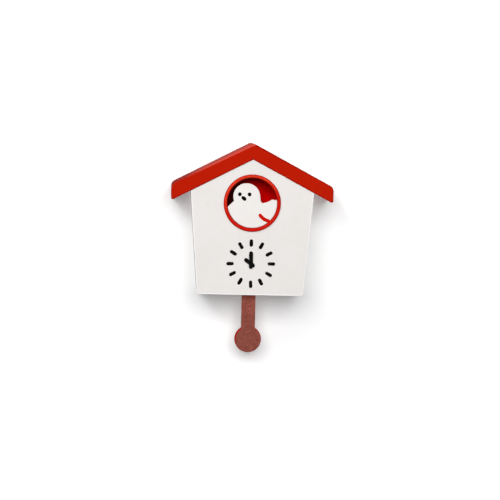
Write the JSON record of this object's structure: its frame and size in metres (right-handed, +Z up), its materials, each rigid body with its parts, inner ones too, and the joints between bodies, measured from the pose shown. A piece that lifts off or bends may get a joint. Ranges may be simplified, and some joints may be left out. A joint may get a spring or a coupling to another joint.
{
  "type": "cuckoo clock",
  "caption": "House-shaped wall clock with a gabled roof, a bird that slides out of a round window, a dial without numbers and a hanging pendulum.",
  "frame": {"origin": "centre of the keyhole in the hanger plate, in the wall plane", "axes": "+Z up, +Y into the wall, +X to the right seen from the front; the dial faces -Y"},
  "size_m": [0.205, 0.086, 0.269],
  "materials": {
    "red_lacquer": "satin red lacquer on beech board",
    "white_lacquer": "matt warm white lacquer on board",
    "bare_board": "bare fibreboard and beech",
    "ring_lacquer": "gloss red lacquer",
    "niche_red": "dark red, matt",
    "bird_white": "matt white lacquer",
    "black_paint": "matt black paint",
    "hand_black": "matt black",
    "pendulum_brown": "matt brown-red stain with painted edges",
    "works_plastic": "fine-grained moulding",
    "gear_plastic": "natural acetal",
    "brass": "turned",
    "steel": "zinc plated",
    "coil": "enamelled copper winding",
    "board_green": "solder mask",
    "cell_wrap": "plain sleeve",
    "cover_plastic": "fine-grained moulding",
    "speaker_black": "paper cone in a steel basket",
    "lens": "clear epoxy"
  },
  "bodies": {
    "case": {"roof_left": "red_lacquer", "roof_right": "red_lacquer", "front_panel": "white_lacquer", "side_left": "white_lacquer", "side_right": "white_lacquer", "floor_board": "white_lacquer", "back_panel": "bare_board", "hanger_plate": "steel", "hanger_screws": "steel", "back_screws": "steel", "corner_blocks": "bare_board", "window_ring": "ring_lacquer", "bird_niche": "niche_red", "bird_motor": "steel", "motor_bracket": "steel", "dial_marks": "black_paint", "works_front": "works_plastic", "works_rear": "works_plastic", "works_screws": "steel", "stepper_unit": "works_plastic", "stepper_coil": "coil", "pendulum_drive": "works_plastic", "pivot_pin": "steel", "battery_tray": "works_plastic", "battery_cells": "cell_wrap", "battery_contacts": "steel", "control_board": "board_green", "speaker": "speaker_black", "light_sensor": "lens"},
    "bird_slide": {"bird": "bird_white", "bird_eyes": "black_paint", "bird_beak": "black_paint", "bird_wing_line": "ring_lacquer", "bird_rack": "gear_plastic"},
    "drive_pinion": {"rack_pinion": "gear_plastic"},
    "minute_arbor": {"centre_wheel": "gear_plastic", "minute_hand": "hand_black"},
    "hour_pipe": {"hour_wheel": "gear_plastic", "hour_hand": "hand_black"},
    "motion_arbor": {"motion_wheel": "gear_plastic", "set_shaft": "steel", "set_knob": "gear_plastic"},
    "third_arbor": {"third_wheel": "gear_plastic"},
    "pendulum": {"pendulum_rod": "pendulum_brown", "pendulum_bob": "pendulum_brown", "pendulum_bush": "brass", "drive_magnet": "steel"},
    "cover": {"battery_cover": "cover_plastic"},
    "volume": {"volume_knob": "works_plastic"},
    "mode": {"mode_switch": "works_plastic"},
    "button": {"demo_button": "works_plastic"}
  },
  "joints": [
    {"name": "minute_turn", "type": "hinge", "parent": "case", "child": "minute_arbor", "pos_m": [0, 0, -0.1], "axis": [0, 1, 0], "continuous": true},
    {"name": "hour_turn", "type": "hinge", "parent": "case", "child": "hour_pipe", "pos_m": [0, 0, -0.1], "axis": [0, 1, 0], "continuous": true},
    {"name": "motion_turn", "type": "hinge", "parent": "case", "child": "motion_arbor", "pos_m": [0, 0, -0.09], "axis": [0, 1, 0], "continuous": true},
    {"name": "third_turn", "type": "hinge", "parent": "case", "child": "third_arbor", "pos_m": [0, 0, -0.1084], "axis": [0, 1, 0], "continuous": true},
    {"name": "bird_call", "type": "slide", "parent": "case", "child": "bird_slide", "axis": [0, -1, 0], "range_m": [0, 0.014]},
    {"name": "drive_pinion_turn", "type": "hinge", "parent": "case", "child": "drive_pinion", "pos_m": [0, -0.032, -0.0303], "axis": [1, 0, 0], "range_deg": [0, 170]},
    {"name": "pendulum_swing", "type": "hinge", "parent": "case", "child": "pendulum", "pos_m": [0, 0, -0.104], "axis": [0, 1, 0], "range_deg": [-7, 7]},
    {"name": "cover_slide", "type": "slide", "parent": "case", "child": "cover", "axis": [0, 0, -1], "range_m": [0, 0.045]},
    {"name": "volume_turn", "type": "hinge", "parent": "case", "child": "volume", "pos_m": [0.05, 0, -0.048], "axis": [0, 1, 0], "range_deg": [-135, 135]},
    {"name": "mode_slide", "type": "slide", "parent": "case", "child": "mode", "axis": [1, 0, 0], "range_m": [-0.0035, 0.0035]},
    {"name": "demo_press", "type": "slide", "parent": "case", "child": "button", "axis": [0, -1, 0], "range_m": [0, 0.0015], "stiffness_N_per_m": 300}
  ],
  "couplings": [
    {"joint": "hour_turn", "follows": "minute_turn", "ratio": 0.083333},
    {"joint": "motion_turn", "follows": "minute_turn", "ratio": -0.33333},
    {"joint": "third_turn", "follows": "minute_turn", "ratio": -6},
    {"joint": "drive_pinion_turn", "follows": "bird_call", "rad_per_m": 208.33}
  ]
}
